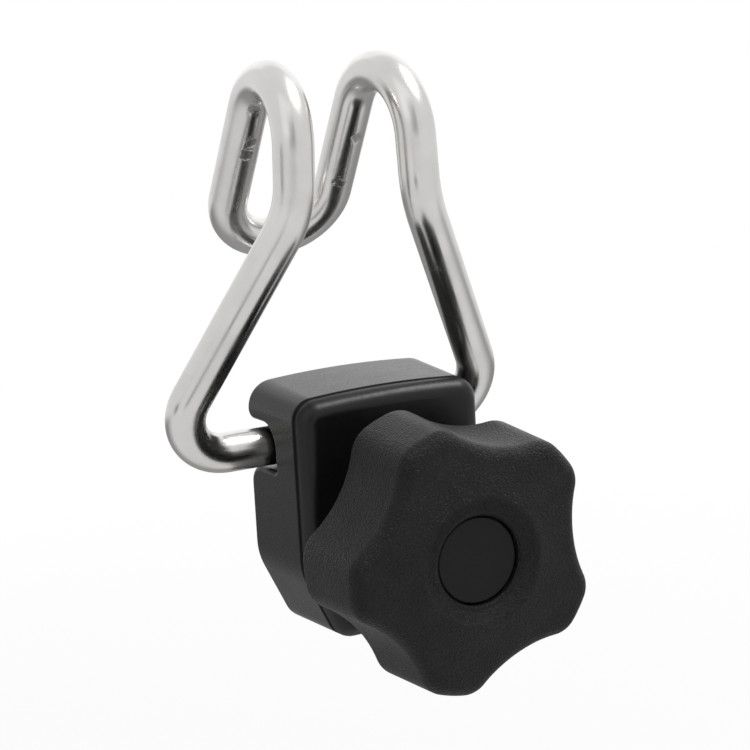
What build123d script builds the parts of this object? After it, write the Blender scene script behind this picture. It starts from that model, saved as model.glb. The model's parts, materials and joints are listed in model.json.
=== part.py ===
"""Lashing hook: a stainless wire bail that swings in a rail clamp block tightened by a star knob.

Millimetres, +Z up. The origin is where the bolt's axis meets the rail seat, the back face of the block.
The knob is at the front, towards -Y, and the rail lies behind, towards +Y, along X.
"""

import os
from math import cos, hypot, radians, sin, tan

from build123d import *

# Wire bail: corners of the bent wire, measured along its own legs
WIRE_D = 8.0
BAR_HALF = 38.3
LEG_LENGTH = 52.3
SHOULDER_HALF = 13.6
RISE_LENGTH = 53.5
ARCH_HALF = 11.45
DROP_LENGTH = 75.9
REAR_HALF = 11.95
BAR_BEND_R = 9.8
SHOULDER_BEND_R = 19.4
ARCH_BEND_R = 12.3
REAR_BEND_R = 11.5
BAIL_LEAN = 20.95
REAR_LEAN = 32.95
BAIL_SHIFT = -5.5

# Clamp block: body and cover share one outline, given at their seam, that narrows towards the front
BLOCK_WIDTH = 40.0
BLOCK_TOP = 28.05
BLOCK_BOTTOM = -21.85
BLOCK_CROWN = 1.0
TOP_CORNER_R = 4.4
TAPER_TOP = -7.3
TAPER_IN = 6.8
TAPER_CORNER_R = 12.0
FOOT_CORNER_R = 4.4
BLOCK_DRAFT = 2.8
BODY_DEPTH = 19.9
COVER_DEPTH = 3.8
COVER_EDGE_R = 3.3
SEAM_CHAMFER = 0.35

# Channel for the bail's bar, open to the rail
BAR_RISE = 16.0
BAR_INSET = 5.8
CHANNEL_ROOF_GAP = 1.0
CHANNEL_FLOOR_GAP = 0.4
CHANNEL_FRONT_GAP = 1.1
CHANNEL_ROUND_R = 4.9
CHANNEL_CORNER_R = 0.6
UPPER_LIP_R = 2.0
LOWER_LIP_R = 4.0
BODY_EDGE_R = 1.0

# Cover's locating pegs
PEG_D = 5.0
PEG_LENGTH = 4.0
PEG_SPACING = 24.0
PEG_DROP = 3.0
PEG_CLEARANCE = 0.05

# Bolt, washer and slot nut
BOLT_D = 8.0
BOLT_LENGTH = 60.0
BOLT_CLEARANCE = 0.05
HEAD_FLATS = 13.0
HEAD_HEIGHT = 5.3
BOLT_CHAMFER = 1.0
WASHER_D = 16.0
WASHER_THICK = 1.6
NUT_LENGTH = 26.0
NUT_HEIGHT = 16.0
NUT_THICK = 5.0
NUT_NECK_HEIGHT = 9.8
NUT_NECK = 1.8
NUT_GAP = 0.6
NUT_CHAMFER = 0.6

# Star knob
LOBES = 5
KNOB_R = 27.4
VALLEY_R = 22.6
VALLEY_ARC_R = 24.0
LOBE_CORNER_R = 6.5
LOBE_TURN = 40.1
KNOB_DRAFT = 3.0
HUB_LENGTH = 10.4
HUB_R = 11.5
HUB_STEP = 0.8
HUB_CHAMFER = 0.8
RIM_DEPTH = 20.0
DOME_RISE = 1.4
DOME_R = 60.0
KNOB_FRONT_R = 2.8
KNOB_BACK_R = 1.0
KNOB_WALL = 3.2
KNOB_CORE_DEPTH = 15.0
RIB_THICK = 2.4

# Dish and cap at the knob's middle
DISH_R = 12.3
DISH_DEPTH = 1.5
DISH_EDGE_R = 1.6
BORE_LIP = 0.45
CAP_R = 8.3
CAP_GAP = 0.35
CAP_THICK = 2.4
CAP_FLANGE = 0.9
CAP_RECESS = 0.9
CAP_EDGE_R = 0.35
FIT = 0.03

# Places worked out from the sizes above
seam_y = -BODY_DEPTH
cover_y = seam_y - COVER_DEPTH
hub_y = cover_y - WASHER_THICK
knob_back_y = hub_y - HUB_LENGTH
rim_y = knob_back_y - RIM_DEPTH
crest_y = rim_y - DOME_RISE
dish_y = crest_y + DISH_DEPTH
cap_y = dish_y + CAP_RECESS
cap_seat_y = cap_y + CAP_THICK
head_back_y = cap_seat_y + HEAD_HEIGHT
bolt_end_y = head_back_y + BOLT_LENGTH
nut_neck_y = NUT_GAP
nut_face_y = nut_neck_y + NUT_NECK
channel_roof = BAR_RISE + WIRE_D / 2 + CHANNEL_ROOF_GAP
channel_floor = BAR_RISE - WIRE_D / 2 - CHANNEL_FLOOR_GAP
channel_y = -BAR_INSET - WIRE_D / 2 - CHANNEL_FRONT_GAP
blank_y = UPPER_LIP_R
hole_r = BOLT_D / 2 + BOLT_CLEARANCE
bore_r = CAP_R + CAP_GAP
half_width = BLOCK_WIDTH / 2


def facing(y):
    """Plane across the bolt's axis at y: local x is X, local y is Z, and it faces the front."""
    return Plane.XZ.offset(-y)


def off_axis(edge):
    """Distance of an edge's middle from the bolt's axis."""
    middle = edge @ 0.5
    return hypot(middle.X, middle.Z)


def bail_corners():
    """Corners of half the wire, from the middle of the bar to the middle of the rear U."""
    lean = radians(BAIL_LEAN)
    rear_lean = radians(REAR_LEAN)
    bar = Vector(BAIL_SHIFT, -BAR_INSET, BAR_RISE)
    foot = bar + Vector(BAR_HALF, 0, 0)
    shoulder = bar + Vector(SHOULDER_HALF, -LEG_LENGTH * sin(lean), LEG_LENGTH * cos(lean))
    arch = shoulder + Vector(ARCH_HALF - SHOULDER_HALF, 0, RISE_LENGTH)
    drop = Vector(REAR_HALF - ARCH_HALF, DROP_LENGTH * sin(rear_lean), -DROP_LENGTH * cos(rear_lean))
    rear = arch + drop
    return [bar, foot, shoulder, arch, rear, rear - Vector(REAR_HALF, 0, 0)]


def block_outline(y):
    """Outline of the block at y: crowned top, rounded corners, sides that taper in at the bottom."""
    with BuildSketch() as outline:
        with BuildLine():
            low = BLOCK_BOTTOM
            side = BLOCK_TOP - BLOCK_CROWN
            half_foot = half_width - TAPER_IN
            Polyline(
                (-half_width, side),
                (-half_width, TAPER_TOP),
                (-half_foot, low),
                (half_foot, low),
                (half_width, TAPER_TOP),
                (half_width, side),
            )
            ThreePointArc((half_width, side), (0, BLOCK_TOP), (-half_width, side))
        make_face()
        fillet(outline.vertices().filter_by_position(Axis.Y, TAPER_TOP, TAPER_TOP), TAPER_CORNER_R)
        fillet(outline.vertices().group_by(Axis.Y)[0], FOOT_CORNER_R)
        fillet(outline.vertices().group_by(Axis.Y)[-1], TOP_CORNER_R)
        if y > seam_y:
            offset(amount=(y - seam_y) * tan(radians(BLOCK_DRAFT)))
    return outline.sketch


def star_outline(inset=0.0):
    """Front view of the knob: a circle with a shallow round valley between each pair of lobes."""
    with BuildSketch() as star:
        Circle(KNOB_R)
        with PolarLocations(VALLEY_R + VALLEY_ARC_R, LOBES, start_angle=LOBE_TURN + 180 / LOBES):
            Circle(VALLEY_ARC_R, mode=Mode.SUBTRACT)
        fillet(star.vertices(), LOBE_CORNER_R)
        if inset:
            offset(amount=-inset)
    return star.sketch


# Bail: half the wire swept along its filleted corners, then mirrored
with BuildPart() as hook_bail:
    corners = bail_corners()
    with BuildLine() as half_wire:
        FilletPolyline(*corners, radius=(BAR_BEND_R, SHOULDER_BEND_R, ARCH_BEND_R, REAR_BEND_R))
    with BuildSketch(Plane(origin=corners[0], x_dir=(0, 1, 0), z_dir=(1, 0, 0))):
        Circle(WIRE_D / 2)
    sweep()
    mirror(about=Plane.YZ.offset(BAIL_SHIFT))

# Clamp body: drafted block whose back is one profile of rail seat, channel and lips
with BuildPart() as clamp_body:
    with BuildSketch(facing(blank_y)):
        add(block_outline(blank_y))
    extrude(amount=blank_y + BODY_DEPTH, taper=BLOCK_DRAFT)
    with BuildSketch(Plane.YZ) as back_profile:
        with BuildLine():
            above = BLOCK_TOP + BODY_DEPTH
            below = BLOCK_BOTTOM - BODY_DEPTH
            Polyline(
                (channel_y, channel_roof),
                (0, channel_roof),
                (0, above),
                (BODY_DEPTH, above),
                (BODY_DEPTH, below),
                (0, below),
                (0, channel_floor),
                (channel_y, channel_floor),
                close=True,
            )
        make_face()
        fillet(back_profile.vertices().sort_by_distance((0, channel_roof))[0], UPPER_LIP_R)
        fillet(back_profile.vertices().sort_by_distance((0, channel_floor))[0], LOWER_LIP_R)
        fillet(back_profile.vertices().sort_by_distance((channel_y, channel_roof))[0], CHANNEL_ROUND_R)
        fillet(back_profile.vertices().sort_by_distance((channel_y, channel_floor))[0], CHANNEL_CORNER_R)
    extrude(amount=BLOCK_WIDTH, both=True, mode=Mode.SUBTRACT)
    back_edges = clamp_body.edges(Select.LAST)
    fillet(back_edges.filter_by(lambda edge: edge.length < BLOCK_WIDTH - TOP_CORNER_R), BODY_EDGE_R)
    chamfer(clamp_body.faces().sort_by(Axis.Y)[0].edges(), SEAM_CHAMFER)
    with BuildSketch(facing(0)):
        Circle(hole_r)
    extrude(amount=BODY_DEPTH, mode=Mode.SUBTRACT)
    with BuildSketch(facing(seam_y)):
        with Locations((0, -PEG_DROP)):
            with GridLocations(PEG_SPACING, 0, 2, 1):
                Circle(PEG_D / 2 + PEG_CLEARANCE)
    extrude(amount=-PEG_LENGTH - PEG_CLEARANCE, mode=Mode.SUBTRACT)

# Front cover: goes on from the body's outline, rounded front edge, pegs into the body
with BuildPart() as front_cover:
    with BuildSketch(facing(seam_y)):
        add(block_outline(seam_y))
    extrude(amount=COVER_DEPTH, taper=BLOCK_DRAFT)
    fillet(front_cover.faces().sort_by(Axis.Y)[0].edges(), COVER_EDGE_R)
    chamfer(front_cover.faces().sort_by(Axis.Y)[-1].edges(), SEAM_CHAMFER)
    with BuildSketch(facing(seam_y)):
        with Locations((0, -PEG_DROP)):
            with GridLocations(PEG_SPACING, 0, 2, 1):
                Circle(PEG_D / 2)
    extrude(amount=-PEG_LENGTH)
    with BuildSketch(facing(seam_y)):
        Circle(hole_r)
    extrude(amount=COVER_DEPTH, mode=Mode.SUBTRACT)

# Star knob: drafted star, domed front with a dish, cored back with a hub and ribs
with BuildPart() as star_knob:
    with BuildSketch(facing(knob_back_y)):
        add(star_outline())
    extrude(amount=RIM_DEPTH + DOME_RISE, taper=KNOB_DRAFT)
    fillet(star_knob.faces().sort_by(Axis.Y)[-1].edges(), KNOB_BACK_R)
    with BuildSketch(Plane.XY) as front_cut:
        with BuildLine():
            clear_y = crest_y - RIM_DEPTH
            dish_edge = Polyline((0, dish_y), (bore_r + 2 * BORE_LIP, dish_y), (DISH_R, crest_y))
            dome = RadiusArc(dish_edge @ 1, (KNOB_R, rim_y), DOME_R)
            Polyline(dome @ 1, (KNOB_R, clear_y), (0, clear_y), (0, dish_y))
        make_face()
        fillet(front_cut.vertices().sort_by_distance((DISH_R, crest_y))[0], DISH_EDGE_R)
    revolve(axis=Axis.Y, mode=Mode.SUBTRACT)
    front_edges = star_knob.edges(Select.LAST)
    fillet(front_edges.filter_by(lambda edge: off_axis(edge) > DISH_R + DISH_EDGE_R), KNOB_FRONT_R)
    with BuildSketch(facing(knob_back_y)):
        add(star_outline(KNOB_WALL))
        Circle(HUB_R + HUB_STEP, mode=Mode.SUBTRACT)
        with PolarLocations(KNOB_R / 2, LOBES, start_angle=LOBE_TURN):
            Rectangle(KNOB_R, RIB_THICK, mode=Mode.SUBTRACT)
    extrude(amount=KNOB_CORE_DEPTH, mode=Mode.SUBTRACT)
    with BuildSketch(Plane.XY):
        Polygon(
            (0, hub_y),
            (HUB_R - HUB_CHAMFER, hub_y),
            (HUB_R, hub_y - HUB_CHAMFER),
            (HUB_R, knob_back_y),
            (0, knob_back_y),
            align=None,
        )
    revolve(axis=Axis.Y)
    with BuildSketch(facing(cap_seat_y)):
        Circle(bore_r)
    extrude(amount=cap_seat_y - clear_y, mode=Mode.SUBTRACT)
    bore_edges = star_knob.edges().filter_by(GeomType.CIRCLE).sort_by_distance((0, dish_y, bore_r))
    chamfer(bore_edges[0], BORE_LIP)
    with BuildSketch(facing(head_back_y)):
        RegularPolygon(HEAD_FLATS / 2 + FIT, 6, major_radius=False)
    extrude(amount=HEAD_HEIGHT, mode=Mode.SUBTRACT)
    with BuildSketch(facing(hub_y)):
        Circle(BOLT_D / 2 + FIT)
    extrude(amount=hub_y - head_back_y, mode=Mode.SUBTRACT)

# Knob cap: disc with a wider flange that snaps into the knob's bore
with BuildPart() as knob_cap:
    with BuildSketch(facing(cap_seat_y)):
        Circle(bore_r - FIT)
    extrude(amount=CAP_FLANGE)
    with BuildSketch(facing(cap_seat_y)):
        Circle(CAP_R)
    extrude(amount=CAP_THICK)
    fillet(knob_cap.faces().sort_by(Axis.Y)[0].edges(), CAP_EDGE_R)

# Clamp bolt: hexagon head with turned-off corners, plain shank for the thread
with BuildPart() as clamp_bolt:
    with BuildSketch(facing(head_back_y)):
        RegularPolygon(HEAD_FLATS / 2, 6, major_radius=False)
    extrude(amount=HEAD_HEIGHT)
    with BuildSketch(Plane.XY):
        Polygon(
            (0, head_back_y),
            (HEAD_FLATS, head_back_y),
            (HEAD_FLATS / 2, cap_seat_y),
            (0, cap_seat_y),
            align=None,
        )
    revolve(axis=Axis.Y, mode=Mode.INTERSECT)
    with BuildSketch(facing(head_back_y)):
        Circle(BOLT_D / 2)
    extrude(amount=-BOLT_LENGTH)
    chamfer(clamp_bolt.faces().sort_by(Axis.Y)[-1].edges(), BOLT_CHAMFER)

# Thrust washer between the hub and the cover
with BuildPart() as thrust_washer:
    with BuildSketch(facing(cover_y)):
        Circle(WASHER_D / 2)
        Circle(hole_r, mode=Mode.SUBTRACT)
    extrude(amount=WASHER_THICK)

# Slot nut: flange behind the rail's lips, neck between them
with BuildPart() as slot_nut:
    with BuildSketch(facing(nut_face_y)):
        Rectangle(NUT_LENGTH, NUT_HEIGHT)
    extrude(amount=-NUT_THICK)
    chamfer(slot_nut.faces().sort_by(Axis.Y)[-1].edges(), NUT_CHAMFER)
    with BuildSketch(facing(nut_face_y)):
        Rectangle(NUT_LENGTH, NUT_NECK_HEIGHT)
    extrude(amount=NUT_NECK)
    with BuildSketch(facing(nut_neck_y)):
        Circle(hole_r)
    extrude(amount=-NUT_NECK - NUT_THICK, mode=Mode.SUBTRACT)

# Pieces and their files
pieces = {
    "hook_bail": hook_bail,
    "clamp_body": clamp_body,
    "front_cover": front_cover,
    "star_knob": star_knob,
    "knob_cap": knob_cap,
    "clamp_bolt": clamp_bolt,
    "thrust_washer": thrust_washer,
    "slot_nut": slot_nut,
}
os.makedirs("parts", exist_ok=True)
for label, piece in pieces.items():
    piece.part.label = label
    export_step(piece.part, f"parts/{label}.step")
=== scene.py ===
"""Rail-clamp lashing hook: finished pieces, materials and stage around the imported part.

Metres, in the part's own frame: +Z up, the knob at the front towards -Y, the rail behind along X.
"""

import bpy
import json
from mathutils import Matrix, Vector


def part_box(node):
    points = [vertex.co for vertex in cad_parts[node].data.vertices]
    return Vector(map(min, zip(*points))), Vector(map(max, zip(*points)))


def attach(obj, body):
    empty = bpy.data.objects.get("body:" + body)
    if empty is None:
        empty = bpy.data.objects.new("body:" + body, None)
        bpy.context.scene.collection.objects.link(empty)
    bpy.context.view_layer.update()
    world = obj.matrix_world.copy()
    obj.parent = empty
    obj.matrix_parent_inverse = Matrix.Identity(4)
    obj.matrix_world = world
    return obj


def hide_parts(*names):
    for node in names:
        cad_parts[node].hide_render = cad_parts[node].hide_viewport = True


bl_info = {
    "name": "Lashing Hook",
    "version": (1, 0, 0),
    "blender": (4, 5, 0),
    "location": "View3D > Sidebar > Lashing Hook",
    "description": "Dresses a rail-clamp lashing hook: bent wire bail, clamp block, star knob and stage",
    "category": "Add Mesh",
}

import json
from math import cos, pi, radians, sin

import bpy
from bpy.props import FloatProperty, FloatVectorProperty, IntProperty, PointerProperty
from bpy.types import Operator, Panel, PropertyGroup
from mathutils import Matrix, Vector

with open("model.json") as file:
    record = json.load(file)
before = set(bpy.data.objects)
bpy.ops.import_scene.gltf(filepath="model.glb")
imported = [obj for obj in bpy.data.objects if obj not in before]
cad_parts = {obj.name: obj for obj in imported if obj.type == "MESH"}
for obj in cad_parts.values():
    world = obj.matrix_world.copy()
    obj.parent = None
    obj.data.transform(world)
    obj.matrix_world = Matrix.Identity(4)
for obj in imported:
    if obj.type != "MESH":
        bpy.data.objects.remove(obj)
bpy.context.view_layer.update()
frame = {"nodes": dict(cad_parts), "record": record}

MM = 0.001

# Places from the frame: the joint of body and cover, the bolt's box and the bar that the bail swings about
SEAM_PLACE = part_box("clamp_body")[0].y
BOLT_LOW, BOLT_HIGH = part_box("clamp_bolt")
JOINTS = {joint["name"]: joint for joint in frame["record"]["behaviour"]["joints"]}
BAR_SHIFT, BAR_DEPTH, BAR_HEIGHT = JOINTS["bail_swing"]["pos_m"]

# Painted shade along the groove at the joint of body and cover: here and below, a pair of edges is where a
# mask is 0 and where it is 1
SEAM_SHADE_EDGES = (1.0 * MM, 0.6 * MM)

# Marks of the bending die: left or right rear leg, millimetres down it from the arch corner and sideways
DIE_MARKS = ((-1, 39.0, -1.0), (-1, 47.5, 0.0), (-1, 50.5, 0.0), (1, 49.0, 0.5), (1, 60.0, -1.5))

# Edges of a mark, from its middle, and how far its ragged outline wanders
DIE_MARK_EDGES = (1.5 * MM, 0.7 * MM)
DIE_MARK_WANDER = 2.4 * MM

# Patterns of the finishes, in waves per metre
DRAW_LINES = 2600.0
WIRE_CLOUDS = 130.0
RAGGED_EDGE = 700.0
MOULD_TONES = 180.0
ZINC_SPANGLES = 1400.0
ZINC_STAINS = 240.0

# Edges of the patches in a noise field
PATCH_EDGES = (0.35, 0.7)
TONE_EDGES = (0.3, 0.7)
PEAK_EDGES = (0.35, 0.75)

# Points in each bend of the wire, faces around the bolt, and the angle past which its edges stay hard
BEND_POINTS = 48
BOLT_SIDES = 48
HARD_EDGE = radians(40.0)

# Flats at the crest and the root of the thread, as shares of its pitch
CREST_FLAT = 1 / 8
ROOT_FLAT = 1 / 4

# Strip behind the viewer: edges in the cosine from its middle and in height
STRIP_EDGES = (0.93, 0.99)
STRIP_TOP = (0.75, 0.45)

# Shades of the floor: edges in the cosine from their middle, and in metres from the origin
REAR_EDGES = (0.2, -0.4)
REAR_END = (0.9, 0.5)
FAR_GAP_EDGES = (0.98, 0.996)
FAR_GAP_START = (0.6, 0.8)
NEAR_GAP_EDGES = (0.985, 0.995)
NEAR_GAP_START = (0.42, 0.54)
NEAR_GAP_END = (0.9, 0.7)
SHADOW_END = (0.12, 0.45)

# Stage: half the floor's width, the point that the lamps face, and the camera's sensor and near limit
FLOOR_REACH = 6.0
LAMP_TARGET = (0.0, -0.015, 0.03)
SENSOR_WIDTH = 36.0
NEAR_LIMIT = 10.0 * MM


def length(name, millimetres, description):
    """Length property with its default given in millimetres."""
    default = millimetres * MM
    return FloatProperty(name=name, description=description, default=default, unit="LENGTH", precision=5)


def angle(name, degrees, description):
    """Angle property with its default given in degrees."""
    return FloatProperty(name=name, description=description, default=radians(degrees), subtype="ANGLE")


def share(name, value, description):
    """Property for a share of a whole."""
    return FloatProperty(
        name=name, description=description, default=value, subtype="FACTOR", min=0.0, max=1.0
    )


def colour(name, value, description):
    """Colour property."""
    return FloatVectorProperty(
        name=name, description=description, default=value, subtype="COLOR", min=0.0, max=1.0
    )


class BailSizes(PropertyGroup):
    """Bent wire, measured along its own legs from corner to corner."""

    wire: length("Wire", 7.98, "Diameter of the round wire")
    bar_half: length("Bar", 38.3, "Half the length of the bar in the channel")
    leg: length("Leg", 52.3, "Length of a leg from the bar to its shoulder")
    shoulder_half: length("Shoulder", 13.6, "Half the spacing of the shoulders")
    rise: length("Rise", 53.5, "Height of the arch corner over the shoulder")
    arch_half: length("Arch", 11.45, "Half the spacing of the arches")
    drop: length("Drop", 75.9, "Length of a rear leg from the arch corner")
    rear_half: length("Rear U", 11.95, "Half the spacing of the rear legs")
    bar_bend: length("Bar bend", 9.8, "Bend radius at the ends of the bar")
    shoulder_bend: length("Shoulder bend", 19.4, "Bend radius at the shoulders")
    arch_bend: length("Arch bend", 12.3, "Bend radius of the arches")
    rear_bend: length("Rear bend", 11.5, "Bend radius of the rear U")
    lean: angle("Lean", 20.95, "Forward lean of the legs")
    rear_lean: angle("Rear lean", 32.95, "Backward lean of the rear legs")
    shift: length("Shift", BAR_SHIFT / MM, "Sideways place of the bar in the channel")
    bar_rise: length("Bar height", BAR_HEIGHT / MM, "Height of the bar over the bolt")
    bar_inset: length("Bar inset", -BAR_DEPTH / MM, "Depth of the bar in front of the rail seat")
    sides: IntProperty(name="Sides", description="Faces around the wire", default=48, min=12)
    step: length("Step", 0.6, "Length of a face along the wire")


class BoltSizes(PropertyGroup):
    """Hexagon bolt of the knob, with places along +Y."""

    shank: length("Shank", 4.0, "Radius of the shank over the thread crests")
    flats: length("Flats", (BOLT_HIGH.z - BOLT_LOW.z) / MM, "Width of the head across its flats")
    head_front: length("Head front", BOLT_LOW.y / MM, "Place of the head's front face")
    head_back: length("Head back", -47.0, "Place of the face under the head")
    end: length("End", BOLT_HIGH.y / MM, "Place of the bolt's end")
    thread_start: length("Thread start", -12.0, "Place where the thread begins")
    pitch: length("Pitch", 1.25, "Distance from one thread crest to the next")
    depth: length("Thread depth", 0.68, "Depth of the thread")
    nose: length("Nose", 0.9, "Chamfer at the bolt's end")
    rings: IntProperty(name="Rings", description="Rings of faces along the thread", default=240, min=40)


class FinishColours(PropertyGroup):
    """Base colours of the finishes."""

    wire: colour("Wire", (0.64, 0.625, 0.61), "Polished stainless wire")
    body: colour("Body", (0.014, 0.014, 0.014), "Satin plastic of the clamp body")
    cover: colour("Cover", (0.006, 0.006, 0.0062), "Glossy plastic of the front cover")
    knob: colour("Knob", (0.0125, 0.0125, 0.0127), "Grained plastic of the star knob")
    cap: colour("Cap", (0.010, 0.010, 0.0102), "Smooth plastic of the knob's cap")
    steel: colour("Steel", (0.60, 0.60, 0.59), "Zinc plated steel")


class StageLook(PropertyGroup):
    """Camera, floor and background."""

    turn: angle("Turn", 27.01, "Turn of the view around the object")
    tilt: angle("Tilt", 11.55, "Downward tilt of the view")
    roll: angle("Roll", -3.08, "Roll of the view")
    lens: FloatProperty(
        name="Lens", description="Focal length for a 36 mm wide sensor", default=104.75, unit="CAMERA"
    )
    eye: FloatVectorProperty(
        name="Eye",
        description="Place of the camera",
        default=(-0.1935, -0.3963, 0.1165),
        subtype="TRANSLATION",
    )
    floor_height: length("Floor height", -110.0, "Height of the floor")
    floor: colour("Floor", (0.9, 0.9, 0.9), "Colour of the floor that takes the shadow")
    shadow: share("Shadow", 0.18, "Share of the lit floor, with its shadow, near the object")
    backdrop: colour("Backdrop", (1.0, 1.0, 1.0), "Colour of the background")
    ambient: share("Ambient", 0.3, "Strength of the even light from all around")
    viewer_shade: share("Viewer shade", 0.5, "Loss in the studio's mirror image behind the viewer")
    rear_shade: share("Rear shade", 0.65, "Loss in the floor's mirror image behind the object")
    gap_shade: share("Gap shade", 0.85, "Loss in the floor's mirror image at the two gaps")
    near_gap: angle("Near gap", 47.0, "Direction of the gap near the object")
    far_gap: angle("Far gap", 93.0, "Direction of the gap further out")


class Socket:
    """A node's output, whose arithmetic adds Math nodes to its tree."""

    def __init__(self, owner, output):
        self.owner = owner
        self.output = output

    def __add__(self, other):
        return self.owner.maths("ADD", self, other)

    def __radd__(self, other):
        return self.owner.maths("ADD", other, self)

    def __sub__(self, other):
        return self.owner.maths("SUBTRACT", self, other)

    def __rsub__(self, other):
        return self.owner.maths("SUBTRACT", other, self)

    def __mul__(self, other):
        return self.owner.maths("MULTIPLY", self, other)

    def __rmul__(self, other):
        return self.owner.maths("MULTIPLY", other, self)

    def __truediv__(self, other):
        return self.owner.maths("DIVIDE", self, other)

    def __rtruediv__(self, other):
        return self.owner.maths("DIVIDE", other, self)

    def __abs__(self):
        return self.owner.maths("ABSOLUTE", self)


class Tree:
    """A node tree that is filled one node at a time."""

    def __init__(self, tree):
        self.tree = tree
        tree.nodes.clear()

    def node(self, kind, settings=None, inputs=None):
        """Adds a node, makes its settings, then fills or links its sockets. Returns its outputs by name."""
        node = self.tree.nodes.new(kind)
        for key, value in (settings or {}).items():
            setattr(node, key, value)
        usable = [socket for socket in node.inputs if socket.enabled]
        for key, value in (inputs or {}).items():
            socket = usable[key] if isinstance(key, int) else next(s for s in usable if s.name == key)
            if isinstance(value, Socket):
                self.tree.links.new(value.output, socket)
            else:
                socket.default_value = value
        return {output.name: Socket(self, output) for output in node.outputs if output.enabled}

    def maths(self, operation, *values):
        """A Math node's value."""
        return self.node("ShaderNodeMath", {"operation": operation}, dict(enumerate(values)))["Value"]

    def vectors(self, operation, *values):
        """A Vector Math node's result, which is a vector or a value."""
        outputs = self.node("ShaderNodeVectorMath", {"operation": operation}, dict(enumerate(values)))
        (result,) = outputs.values()
        return result


class Finish(Tree):
    """Shader tree of a material or a background."""

    def noise(self, vector, scale, detail=2.0):
        """Value of a noise field between 0 and 1."""
        inputs = {"Vector": vector, "Scale": scale, "Detail": detail}
        return self.node("ShaderNodeTexNoise", {}, inputs)["Fac"]

    def spread(self, value, edges):
        """A value mapped to 0 at the first edge and to 1 at the second, and held there beyond them."""
        inputs = {"Value": value, "From Min": edges[0], "From Max": edges[1]}
        return self.node("ShaderNodeMapRange", {"clamp": True}, inputs)["Result"]

    def blend(self, factor, first, second):
        """Mix of two colours."""
        inputs = {"Factor": factor, "A": first, "B": second}
        return self.node("ShaderNodeMix", {"data_type": "RGBA"}, inputs)["Result"]

    def bump(self, height, distance, strength):
        """Normal bent by a height field."""
        inputs = {"Height": height, "Distance": distance, "Strength": strength}
        return self.node("ShaderNodeBump", {}, inputs)["Normal"]

    def mixed(self, factor, first, second):
        """Mix of two shaders."""
        return self.node("ShaderNodeMixShader", {}, {0: factor, 1: first, 2: second})["Shader"]

    def glow(self, kind, rgb, strength):
        """Light of a background or a glowing surface."""
        (light,) = self.node(kind, {}, {"Color": shade(rgb, 1.0), "Strength": strength}).values()
        return light

    def dimmed(self, kind, rgb, loss):
        """Light of strength 1 that loses a share, which may change from place to place."""
        return self.mixed(loss, self.glow(kind, rgb, 1.0), self.glow(kind, rgb, 0.0))


def new_finish(name):
    """Material with an empty tree."""
    material = bpy.data.materials.new(name)
    material.use_nodes = True
    return material, Finish(material.node_tree)


def close_finish(finish, **sockets):
    """Ends a tree in one Principled shader with the given sockets, underscores for spaces."""
    inputs = {key.replace("_", " "): value for key, value in sockets.items()}
    shader = finish.node("ShaderNodeBsdfPrincipled", {}, inputs)["BSDF"]
    finish.node("ShaderNodeOutputMaterial", {}, {"Surface": shader})


def shade(rgb, factor):
    """Colour scaled by a factor, with full opacity."""
    return tuple(min(1.0, channel * factor) for channel in rgb) + (1.0,)


def die_dents(finish, place, marks):
    """1 inside the small ragged dents that the bending die leaves on the wire, 0 elsewhere."""
    ragged = (finish.noise(place, RAGGED_EDGE) - 0.5) * DIE_MARK_WANDER
    dents = 0.0
    for mark in marks:
        gap = finish.vectors("DISTANCE", place, mark)
        dents = finish.spread(gap + ragged, DIE_MARK_EDGES) + dents
    return dents


def wire_finish(rgb, marks):
    """Polished stainless: fine draw lines along the wire, faint cloudy patches and the die's dents."""
    polish = 0.18
    patch_dulling = 0.08
    line_dulling = 0.05
    dent_dulling = 0.1
    patch_colour = shade(rgb, 0.93)
    dent_colour = shade(rgb, 0.6)
    line_stretch = (0.03, 1.0, 1.0)
    line_height = 0.25
    dent_depth = 6.0
    relief = 0.02 * MM
    material, finish = new_finish("polished_stainless")
    line = finish.node("ShaderNodeAttribute", {"attribute_name": "wire_line"})["Vector"]
    draw_lines = finish.noise(finish.vectors("MULTIPLY", line, line_stretch), DRAW_LINES, detail=3.0)
    place = finish.node("ShaderNodeTexCoord")["Object"]
    patch = finish.spread(finish.noise(place, WIRE_CLOUDS, detail=3.0), PATCH_EDGES)
    dents = die_dents(finish, place, marks)
    clean = finish.blend(patch, shade(rgb, 1.0), patch_colour)
    close_finish(
        finish,
        Base_Color=finish.blend(dents, clean, dent_colour),
        Metallic=1.0,
        Roughness=polish + patch * patch_dulling + draw_lines * line_dulling + dents * dent_dulling,
        Normal=finish.bump(draw_lines * line_height - dents * dent_depth, distance=relief, strength=1.0),
    )
    return material


def painted_seam_shade(finish, place):
    """1 along the joint between the clamp body and its cover, where the groove's shade is painted into the
    colour, 0 elsewhere.
    """
    depth = finish.node("ShaderNodeSeparateXYZ", {}, {"Vector": place})["Y"]
    return finish.spread(abs(depth - SEAM_PLACE), SEAM_SHADE_EDGES)


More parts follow.
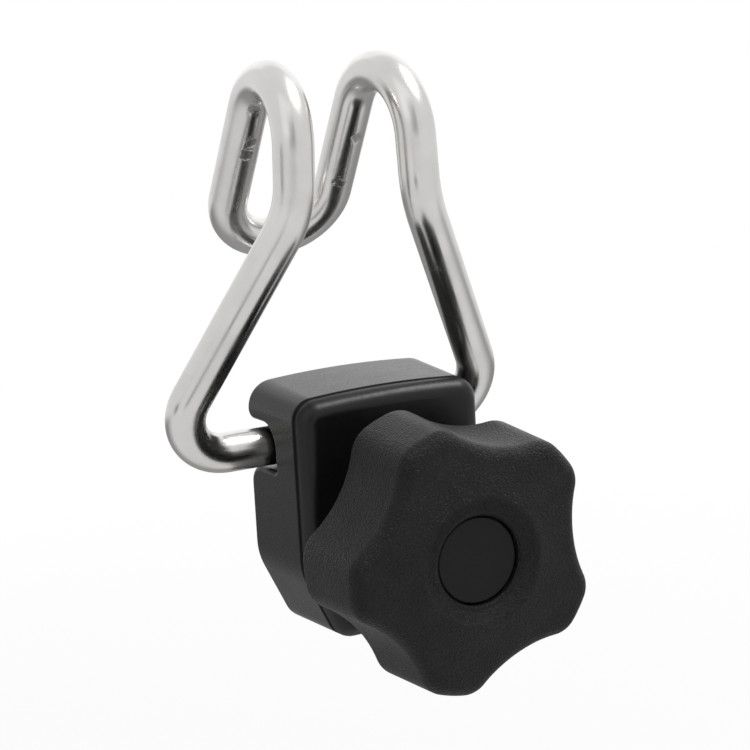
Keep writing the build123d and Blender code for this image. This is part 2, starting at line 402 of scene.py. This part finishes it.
def plastic_finish(name, rgb, grain, grain_height, rough, variation, gloss):
    """Moulded plastic: spark-eroded grain of a given size, slight changes of tone, and painted shade with a
    duller gloss along the joint.
    """
    tone_share = 0.4
    tone_polish = 0.04
    peak_dulling = 0.08
    seam_dulling = 0.6
    # Colour of the painted shade in the joint's groove
    seam_shadow_colour = shade(rgb, 0.2)
    material, finish = new_finish(name)
    place = finish.node("ShaderNodeTexCoord")["Object"]
    seam_shadow_mask = painted_seam_shade(finish, place)
    fine = finish.noise(place, 1.0 / grain)
    tone = finish.spread(finish.noise(place, MOULD_TONES, detail=3.0), TONE_EDGES)
    peaks = finish.spread(fine, PEAK_EDGES)
    mottle = tone * tone_share + peaks * (1.0 - tone_share)
    clean = finish.blend(mottle, shade(rgb, 1.0 - variation), shade(rgb, 1.0 + variation))
    close_finish(
        finish,
        # Painted shade: the colour turns darker along the joint
        Base_Color=finish.blend(seam_shadow_mask, clean, seam_shadow_colour),
        Roughness=rough + peaks * peak_dulling - tone * tone_polish + seam_shadow_mask * seam_dulling,
        Normal=finish.bump(fine, distance=grain_height, strength=1.0),
        Specular_IOR_Level=gloss,
    )
    return material


def steel_finish(rgb):
    """Zinc plated steel: crystalline mottling and soft stains."""
    polish = 0.26
    stain_dulling = 0.1
    spangle_dulling = 0.08
    spangle_height = 0.03 * MM
    clean_colour = shade(rgb, 1.06)
    stain_colour = shade(rgb, 0.84)
    material, finish = new_finish("zinc_plated_steel")
    place = finish.node("ShaderNodeTexCoord")["Object"]
    spangle = finish.noise(place, ZINC_SPANGLES)
    stain = finish.spread(finish.noise(place, ZINC_STAINS), PATCH_EDGES)
    close_finish(
        finish,
        Base_Color=finish.blend(stain, clean_colour, stain_colour),
        Metallic=1.0,
        Roughness=polish + stain * stain_dulling + spangle * spangle_dulling,
        Normal=finish.bump(spangle, distance=spangle_height, strength=0.5),
    )
    return material


def set_finish(piece, material):
    """Gives a piece one material."""
    piece.data.materials.clear()
    piece.data.materials.append(material)


def new_piece(name, mesh):
    """Object at the origin for a finished mesh."""
    piece = bpy.data.objects.new(name, mesh)
    bpy.context.scene.collection.objects.link(piece)
    return piece


def finish_node(node, material):
    """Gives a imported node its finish."""
    set_finish(frame["nodes"][node], material)


def bail_loop(sizes):
    """Corners and bend radii of the closed wire, once around from the middle of the bar."""
    bar = Vector((0.0, -sizes.bar_inset, sizes.bar_rise))
    foot = bar + Vector((sizes.bar_half, 0.0, 0.0))
    climb = Vector((0.0, -sin(sizes.lean), cos(sizes.lean))) * sizes.leg
    shoulder = bar + climb + Vector((sizes.shoulder_half, 0.0, 0.0))
    arch = shoulder + Vector((sizes.arch_half - sizes.shoulder_half, 0.0, sizes.rise))
    fall = Vector((0.0, sin(sizes.rear_lean), -cos(sizes.rear_lean))) * sizes.drop
    rear = arch + fall + Vector((sizes.rear_half - sizes.arch_half, 0.0, 0.0))
    half = [foot, shoulder, arch, rear]
    bends = [sizes.bar_bend, sizes.shoulder_bend, sizes.arch_bend, sizes.rear_bend]
    other = [Vector((-corner.x, corner.y, corner.z)) for corner in reversed(half)]
    corners = [bar] + half + other
    slide = Vector((sizes.shift, 0.0, 0.0))
    return [corner + slide for corner in corners], [0.0] + bends + bends[::-1]


def die_marks(sizes, corners):
    """Places of the die's marks on the front of the rear legs."""
    arch, rear, other_rear, other_arch = corners[3:7]
    legs = {1: (arch, rear), -1: (other_arch, other_rear)}
    places = []
    for side, down, aside in DIE_MARKS:
        top, foot = legs[side]
        leg = (foot - top).normalized()
        front = Vector((0.0, leg.z, -leg.y)) * sizes.wire / 2
        places.append(top + leg * down * MM + front + Vector((aside * MM, 0.0, 0.0)))
    return places


class Shape(Tree):
    """Geometry Nodes tree with named inputs, of which the last is a material."""

    def __init__(self, name, inputs):
        super().__init__(bpy.data.node_groups.new(name, "GeometryNodeTree"))
        sockets = self.tree.interface
        sockets.new_socket("Geometry", in_out="INPUT", socket_type="NodeSocketGeometry")
        for label, kind in inputs.items():
            sockets.new_socket(label, in_out="INPUT", socket_type=kind)
        sockets.new_socket("Material", in_out="INPUT", socket_type="NodeSocketMaterial")
        sockets.new_socket("Geometry", in_out="OUTPUT", socket_type="NodeSocketGeometry")
        self.entry = self.tree.nodes.new("NodeGroupInput")
        self.exit = self.tree.nodes.new("NodeGroupOutput")

    def given(self, label):
        """One of the tree's own inputs."""
        return Socket(self, self.entry.outputs[label])

    def identifier(self, label):
        """Identifier by which a modifier's input is set."""
        for item in self.tree.interface.items_tree:
            if item.item_type == "SOCKET" and item.in_out == "INPUT" and item.name == label:
                return item.identifier
        raise RuntimeError("no input named " + label)

    def limited(self, value):
        """A value held between 0 and 1."""
        return self.maths("MAXIMUM", self.maths("MINIMUM", value, 1.0), 0.0)

    def capture(self, geometry, kind, value):
        """Keeps a value on a geometry's points. Returns the geometry and the kept value."""
        node = self.tree.nodes.new("GeometryNodeCaptureAttribute")
        node.capture_items.new(kind, "kept")
        self.tree.links.new(geometry.output, node.inputs["Geometry"])
        self.tree.links.new(value.output, node.inputs["kept"])
        return Socket(self, node.outputs["Geometry"]), Socket(self, node.outputs["kept"])

    def join(self, *parts):
        """Several geometries as one."""
        node = self.tree.nodes.new("GeometryNodeJoinGeometry")
        for part in parts:
            self.tree.links.new(part.output, node.inputs[0])
        return Socket(self, node.outputs[0])

    def close(self, geometry):
        """Ends the tree in real geometry with the given material."""
        real = self.node("GeometryNodeRealizeInstances", {}, {"Geometry": geometry})["Geometry"]
        inputs = {"Geometry": real, "Material": self.given("Material")}
        painted = self.node("GeometryNodeSetMaterial", {}, inputs)["Geometry"]
        self.tree.links.new(painted.output, self.exit.inputs[0])


def bent_wire_tree():
    """Tree that rounds a loop's corners and runs a round wire along it."""
    shape = Shape(
        "bent_wire",
        {"Wire Radius": "NodeSocketFloat", "Step": "NodeSocketFloat", "Sides": "NodeSocketInt"},
    )
    loop = shape.node("GeometryNodeMeshToCurve", {}, {"Mesh": shape.given("Geometry")})["Curve"]
    bend = shape.node("GeometryNodeInputNamedAttribute", {"data_type": "FLOAT"}, {"Name": "bend_radius"})
    rounded = shape.node(
        "GeometryNodeFilletCurve",
        {"mode": "POLY"},
        {"Curve": loop, "Count": BEND_POINTS, "Radius": bend["Attribute"]},
    )["Curve"]
    even = shape.node(
        "GeometryNodeResampleCurve",
        {"mode": "LENGTH"},
        {"Curve": rounded, "Length": shape.given("Step")},
    )["Curve"]
    path, along = shape.capture(even, "FLOAT", shape.node("GeometryNodeSplineParameter")["Length"])
    circle = shape.node(
        "GeometryNodeCurvePrimitiveCircle",
        {"mode": "RADIUS"},
        {"Resolution": shape.given("Sides"), "Radius": shape.given("Wire Radius")},
    )["Curve"]
    profile, around = shape.capture(circle, "VECTOR", shape.node("GeometryNodeInputPosition")["Position"])
    wire = shape.node("GeometryNodeCurveToMesh", {}, {"Curve": path, "Profile Curve": profile})["Mesh"]
    spot = shape.node("ShaderNodeSeparateXYZ", {}, {"Vector": around})
    line = shape.node("ShaderNodeCombineXYZ", {}, {"X": along, "Y": spot["X"], "Z": spot["Y"]})["Vector"]
    marked = shape.node(
        "GeometryNodeStoreNamedAttribute",
        {"data_type": "FLOAT_VECTOR", "domain": "POINT"},
        {"Geometry": wire, "Name": "wire_line", "Value": line},
    )["Geometry"]
    shape.close(shape.node("GeometryNodeSetShadeSmooth", {}, {"Geometry": marked})["Geometry"])
    return shape


def thread_radius(shape, place, turn):
    """Radius of a right-hand thread at a place along the bolt and a share of a turn around it."""
    pitch = shape.given("Pitch")
    wave = shape.maths("FRACT", place / pitch - turn)
    flank = abs(wave - 0.5) * 2.0
    groove = shape.limited((1.0 - CREST_FLAT - flank) / (1.0 - CREST_FLAT - ROOT_FLAT))
    begun = shape.limited((place - shape.given("Thread Start")) / pitch)
    cut = groove * begun * shape.given("Thread Depth")
    nose = shape.maths("MAXIMUM", place - (shape.given("End") - shape.given("Nose")), 0.0)
    return shape.given("Shank") - shape.maths("MAXIMUM", cut, nose)


def threaded_shank(shape):
    """Shank from the face under the head to the bolt's end, with rings of faces only where it is threaded."""
    rings = shape.given("Rings")
    start = shape.given("Thread Start")
    segments = rings + 1.0
    plain = shape.node(
        "GeometryNodeMeshCylinder",
        {"fill_type": "NGON"},
        {"Vertices": BOLT_SIDES, "Side Segments": segments, "Radius": 1.0, "Depth": 1.0},
    )["Mesh"]
    position = shape.node("GeometryNodeInputPosition")["Position"]
    spot = shape.node("ShaderNodeSeparateXYZ", {}, {"Vector": position})
    ring = (spot["Z"] + 0.5) * segments
    even = start + (ring - 1.0) * ((shape.given("End") - start) / rings)
    first = shape.maths("LESS_THAN", ring, 0.5)
    place = even + first * (shape.given("Head Back") - even)
    turn = shape.maths("ARCTAN2", spot["Y"], spot["X"]) / (2.0 * pi)
    radius = thread_radius(shape, place, turn)
    inputs = {"X": spot["X"] * radius, "Y": spot["Y"] * radius, "Z": place}
    where = shape.node("ShaderNodeCombineXYZ", {}, inputs)["Vector"]
    return shape.node("GeometryNodeSetPosition", {}, {"Geometry": plain, "Position": where})["Geometry"]


def hexagon_head(shape):
    """Hexagon head between its front face and the face under it."""
    front = shape.given("Head Front")
    back = shape.given("Head Back")
    corner = shape.given("Flats") / (2.0 * cos(pi / 6))
    hexagon = shape.node(
        "GeometryNodeMeshCylinder",
        {"fill_type": "NGON"},
        {"Vertices": 6, "Radius": corner, "Depth": back - front},
    )["Mesh"]
    middle = shape.node("ShaderNodeCombineXYZ", {}, {"Z": (back + front) * 0.5})["Vector"]
    return shape.node("GeometryNodeTransform", {}, {"Geometry": hexagon, "Translation": middle})["Geometry"]


def bolt_tree():
    """Tree that cuts a thread into a round shank and puts a hexagon head on it, along +Y."""
    places = ("Head Front", "Head Back", "Thread Start", "End")
    widths = ("Shank", "Flats", "Pitch", "Thread Depth", "Nose")
    lengths = dict.fromkeys(places + widths, "NodeSocketFloat")
    shape = Shape("threaded_bolt", {**lengths, "Rings": "NodeSocketInt"})
    whole = shape.join(threaded_shank(shape), hexagon_head(shape))
    bend = shape.node("GeometryNodeInputMeshEdgeAngle")["Unsigned Angle"]
    hard = shape.maths("GREATER_THAN", bend, HARD_EDGE)
    smooth = shape.node("GeometryNodeSetShadeSmooth", {"domain": "FACE"}, {"Geometry": whole})["Geometry"]
    edged = shape.node(
        "GeometryNodeSetShadeSmooth",
        {"domain": "EDGE"},
        {"Geometry": smooth, "Selection": hard, "Shade Smooth": False},
    )["Geometry"]
    laid = shape.node("GeometryNodeTransform", {}, {"Geometry": edged, "Rotation": (-pi / 2, 0.0, 0.0)})
    shape.close(laid["Geometry"])
    return shape


def run_tree(shape, name, start, values):
    """Runs a tree on a starting mesh and returns the result as a plain mesh object."""
    maker = new_piece(name + "_maker", start)
    modifier = maker.modifiers.new(name, "NODES")
    modifier.node_group = shape.tree
    for label, value in values.items():
        modifier[shape.identifier(label)] = value
    bpy.context.view_layer.update()
    depsgraph = bpy.context.evaluated_depsgraph_get()
    mesh = bpy.data.meshes.new_from_object(maker.evaluated_get(depsgraph))
    mesh.name = name
    maker.modifiers.remove(modifier)
    bpy.data.objects.remove(maker)
    return new_piece(name, mesh)


class LASHHOOK_OT_bail(Operator):
    """Run the polished wire along the bail's bends"""

    bl_idname = "lashhook.bail"
    bl_label = "Wire Bail"

    def execute(self, context):
        sizes = context.scene.lashhook_bail
        corners, bends = bail_loop(sizes)
        count = len(corners)
        start = bpy.data.meshes.new("bail_corners")
        start.from_pydata(corners, [(i, (i + 1) % count) for i in range(count)], [])
        radius = start.attributes.new("bend_radius", "FLOAT", "POINT")
        radius.data.foreach_set("value", bends)
        values = {
            "Wire Radius": sizes.wire / 2,
            "Step": sizes.step,
            "Sides": sizes.sides,
            "Material": wire_finish(context.scene.lashhook_finish.wire, die_marks(sizes, corners)),
        }
        bail = run_tree(bent_wire_tree(), "wire_bail", start, values)
        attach(bail, "bail")
        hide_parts("hook_bail")
        return {"FINISHED"}


class LASHHOOK_OT_block(Operator):
    """Finish the clamp body and its front cover"""

    bl_idname = "lashhook.block"
    bl_label = "Clamp Block"

    def execute(self, context):
        colours = context.scene.lashhook_finish
        body = plastic_finish(
            "satin_body_plastic",
            colours.body,
            grain=0.30 * MM,
            grain_height=0.03 * MM,
            rough=0.26,
            variation=0.10,
            gloss=0.26,
        )
        cover = plastic_finish(
            "gloss_cover_plastic",
            colours.cover,
            grain=0.9 * MM,
            grain_height=0.004 * MM,
            rough=0.34,
            variation=0.05,
            gloss=0.28,
        )
        finish_node("clamp_body", body)
        finish_node("front_cover", cover)
        return {"FINISHED"}


class LASHHOOK_OT_knob(Operator):
    """Finish the star knob and its cap"""

    bl_idname = "lashhook.knob"
    bl_label = "Star Knob"

    def execute(self, context):
        colours = context.scene.lashhook_finish
        knob = plastic_finish(
            "grained_knob_plastic",
            colours.knob,
            grain=0.42 * MM,
            grain_height=0.45 * MM,
            rough=0.36,
            variation=0.50,
            gloss=0.16,
        )
        cap = plastic_finish(
            "smooth_cap_plastic",
            colours.cap,
            grain=0.22 * MM,
            grain_height=0.03 * MM,
            rough=0.46,
            variation=0.10,
            gloss=0.15,
        )
        finish_node("star_knob", knob)
        finish_node("knob_cap", cap)
        return {"FINISHED"}


class LASHHOOK_OT_hardware(Operator):
    """Cut the bolt's thread and finish the bolt, the washer and the slot nut"""

    bl_idname = "lashhook.hardware"
    bl_label = "Steel Hardware"

    def execute(self, context):
        sizes = context.scene.lashhook_bolt
        steel = steel_finish(context.scene.lashhook_finish.steel)
        values = {
            "Shank": sizes.shank,
            "Flats": sizes.flats,
            "Head Front": sizes.head_front,
            "Head Back": sizes.head_back,
            "End": sizes.end,
            "Thread Start": sizes.thread_start,
            "Pitch": sizes.pitch,
            "Thread Depth": sizes.depth,
            "Nose": sizes.nose,
            "Rings": sizes.rings,
            "Material": steel,
        }
        bolt = run_tree(bolt_tree(), "threaded_bolt", bpy.data.meshes.new("bolt_start"), values)
        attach(bolt, "knob")
        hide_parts("clamp_bolt")
        for node in ("thrust_washer", "slot_nut"):
            finish_node(node, steel)
        return {"FINISHED"}


def seen_directly(finish):
    """1 for rays from the camera and for mirror and glass rays, 0 for the light that falls on things."""
    path = finish.node("ShaderNodeLightPath")
    either = finish.maths("MAXIMUM", path["Is Camera Ray"], path["Is Glossy Ray"])
    return finish.maths("MAXIMUM", either, path["Is Transmission Ray"])


def wedge(finish, direction, turn, edges):
    """Soft wedge of level directions around the one that faces a viewer at the given turn."""
    level = finish.vectors("MULTIPLY", direction, (1.0, 1.0, 0.0))
    towards = (-sin(turn), -cos(turn), 0.0)
    return finish.spread(finish.vectors("DOT_PRODUCT", finish.vectors("NORMALIZE", level), towards), edges)


def studio_world(look):
    """White background and even light, with a strip behind the viewer that is darker for mirror rays."""
    world = bpy.data.worlds.new("studio")
    world.use_nodes = True
    finish = Finish(world.node_tree)
    direction = finish.node("ShaderNodeTexCoord")["Generated"]
    height = finish.node("ShaderNodeSeparateXYZ", {}, {"Vector": direction})["Z"]
    strip = wedge(finish, direction, look.turn, STRIP_EDGES) * finish.spread(height, STRIP_TOP)
    mirror = finish.node("ShaderNodeLightPath")["Is Glossy Ray"]
    shown = finish.dimmed("ShaderNodeBackground", look.backdrop, strip * mirror * look.viewer_shade)
    even = finish.glow("ShaderNodeBackground", look.backdrop, look.ambient)
    both = finish.mixed(seen_directly(finish), even, shown)
    finish.node("ShaderNodeOutputWorld", {}, {"Surface": both})
    return world


def floor_mesh(height):
    """Square floor around the origin."""
    mesh = bpy.data.meshes.new("floor")
    corners = ((-1, -1), (1, -1), (1, 1), (-1, 1))
    mesh.from_pydata([(x * FLOOR_REACH, y * FLOOR_REACH, height) for x, y in corners], [], [(0, 1, 2, 3)])
    return mesh


def floor_finish(look):
    """White floor that keeps the object's shadow, with stretches that are darker for mirror rays."""
    material, finish = new_finish("pale_floor")
    place = finish.node("ShaderNodeTexCoord")["Object"]
    away = finish.vectors("LENGTH", place)
    rear = wedge(finish, place, look.turn, REAR_EDGES) * finish.spread(away, REAR_END)
    far = wedge(finish, place, look.far_gap, FAR_GAP_EDGES) * finish.spread(away, FAR_GAP_START)
    near_reach = finish.spread(away, NEAR_GAP_START) * finish.spread(away, NEAR_GAP_END)
    near = wedge(finish, place, look.near_gap, NEAR_GAP_EDGES) * near_reach
    mirror = finish.node("ShaderNodeLightPath")["Is Glossy Ray"]
    loss = (rear * look.rear_shade + (far + near) * look.gap_shade) * mirror
    white = finish.dimmed("ShaderNodeEmission", look.backdrop, loss)
    lit = finish.node("ShaderNodeBsdfDiffuse", {}, {"Color": shade(look.floor, 1.0)})["BSDF"]
    seen = seen_directly(finish) * (1.0 - look.shadow + finish.spread(away, SHADOW_END) * look.shadow)
    finish.node("ShaderNodeOutputMaterial", {}, {"Surface": finish.mixed(seen, lit, white)})
    return material


def add_lamp(name, place, width, height, power):
    """Soft rectangular lamp that faces the object."""
    data = bpy.data.lights.new(name, "AREA")
    data.shape = "RECTANGLE"
    data.size = width
    data.size_y = height
    data.energy = power
    lamp = bpy.data.objects.new(name, data)
    aim = Vector(LAMP_TARGET) - Vector(place)
    lamp.matrix_world = Matrix.Translation(place) @ aim.to_track_quat("-Z", "Y").to_matrix().to_4x4()
    bpy.context.scene.collection.objects.link(lamp)


def view_axes(look):
    """Right, up and forward directions of the camera."""
    forward = Vector((sin(look.turn) * cos(look.tilt), cos(look.turn) * cos(look.tilt), -sin(look.tilt)))
    level = Vector((cos(look.turn), -sin(look.turn), 0.0))
    upright = level.cross(forward)
    right = level * cos(look.roll) + upright * sin(look.roll)
    up = upright * cos(look.roll) - level * sin(look.roll)
    return right, up, forward


def new_camera(look):
    """Camera at the eye's place, along the view's axes."""
    right, up, forward = view_axes(look)
    data = bpy.data.cameras.new("camera")
    data.lens = look.lens
    data.sensor_width = SENSOR_WIDTH
    data.sensor_fit = "HORIZONTAL"
    data.clip_start = NEAR_LIMIT
    camera = bpy.data.objects.new("camera", data)
    turn = Matrix((right, up, -forward)).transposed().to_4x4()
    camera.matrix_world = Matrix.Translation(Vector(look.eye)) @ turn
    bpy.context.scene.collection.objects.link(camera)
    return camera


class LASHHOOK_OT_stage(Operator):
    """Set the background, the floor, the lamps and the camera"""

    bl_idname = "lashhook.stage"
    bl_label = "Stage"

    def execute(self, context):
        scene = context.scene
        look = scene.lashhook_stage
        scene.view_settings.view_transform = "Standard"
        scene.world = studio_world(look)
        floor = new_piece("floor", floor_mesh(look.floor_height))
        set_finish(floor, floor_finish(look))
        add_lamp("key_lamp", place=(-0.75, -0.6, 0.75), width=1.1, height=1.1, power=0.9)
        add_lamp("rear_lamp", place=(0.6, 1.1, 0.7), width=2.0, height=1.2, power=2.5)
        add_lamp("top_lamp", place=(0.46, -0.22, 0.93), width=0.55, height=0.42, power=8.0)
        scene.camera = new_camera(look)
        return {"FINISHED"}


class LASHHOOK_PT_pieces(Panel):
    """Pieces of the lashing hook"""

    bl_idname = "LASHHOOK_PT_pieces"
    bl_label = "Lashing Hook"
    bl_space_type = "VIEW_3D"
    bl_region_type = "UI"
    bl_category = "Lashing Hook"

    def draw(self, context):
        for operator in operators:
            self.layout.operator(operator.bl_idname)
        for name in groups:
            box = self.layout.box()
            values = getattr(context.scene, name)
            for key in values.bl_rna.properties.keys():
                if key not in {"rna_type", "name"}:
                    box.prop(values, key)


groups = {
    "lashhook_bail": BailSizes,
    "lashhook_bolt": BoltSizes,
    "lashhook_finish": FinishColours,
    "lashhook_stage": StageLook,
}
operators = (
    LASHHOOK_OT_bail,
    LASHHOOK_OT_block,
    LASHHOOK_OT_knob,
    LASHHOOK_OT_hardware,
    LASHHOOK_OT_stage,
)


def register():
    """Registers the classes and their values on the scene."""
    for kind in (*groups.values(), *operators, LASHHOOK_PT_pieces):
        bpy.utils.register_class(kind)
    for name, group in groups.items():
        setattr(bpy.types.Scene, name, PointerProperty(type=group))


def unregister():
    """Takes the classes and their values away again."""
    for name in groups:
        delattr(bpy.types.Scene, name)
    for kind in (LASHHOOK_PT_pieces, *reversed(operators), *groups.values()):
        bpy.utils.unregister_class(kind)


def main():
    """Builds every piece and the stage."""
    register()
    bpy.ops.lashhook.bail()
    bpy.ops.lashhook.block()
    bpy.ops.lashhook.knob()
    bpy.ops.lashhook.hardware()
    bpy.ops.lashhook.stage()


if __name__ == "__main__":
    main()
